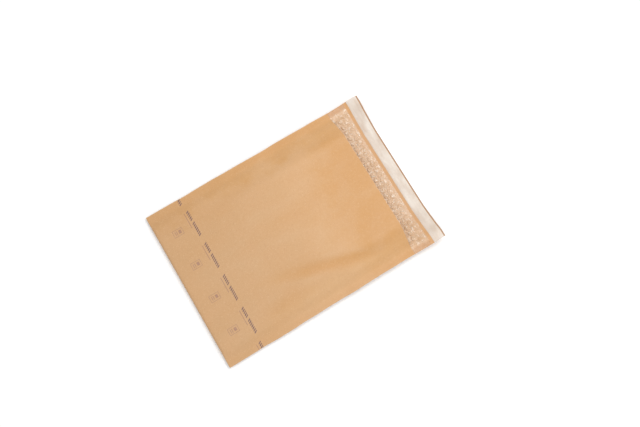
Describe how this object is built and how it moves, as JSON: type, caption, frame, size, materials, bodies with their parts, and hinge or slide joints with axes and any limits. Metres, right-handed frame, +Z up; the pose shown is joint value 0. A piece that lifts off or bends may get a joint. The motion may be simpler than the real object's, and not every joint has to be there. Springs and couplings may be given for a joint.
{
  "type": "padded envelope",
  "caption": "Bubble-lined kraft paper mailing envelope, lying on its back, open at one end with a closing flap, an adhesive strip and its peel-off liner.",
  "frame": {"origin": "on the surface it lies on, under the middle of the envelope's length and width", "axes": "+X across the pocket, +Y from the folded end to the flap's edge, +Z up through the front panel"},
  "size_m": [0.29, 0.42, 0.0351],
  "materials": {
    "kraft": "matte golden-brown kraft paper",
    "bubble_film": "glossy clear polyethylene bubble film over kraft paper",
    "adhesive": "glossy hot-melt adhesive",
    "liner_film": "satin translucent whitish release film"
  },
  "bodies": {
    "root": {"kraft_cover": "kraft", "bubble_lining": "bubble_film", "adhesive_strip": "adhesive", "release_liner": "liner_film"}
  },
  "joints": []
}
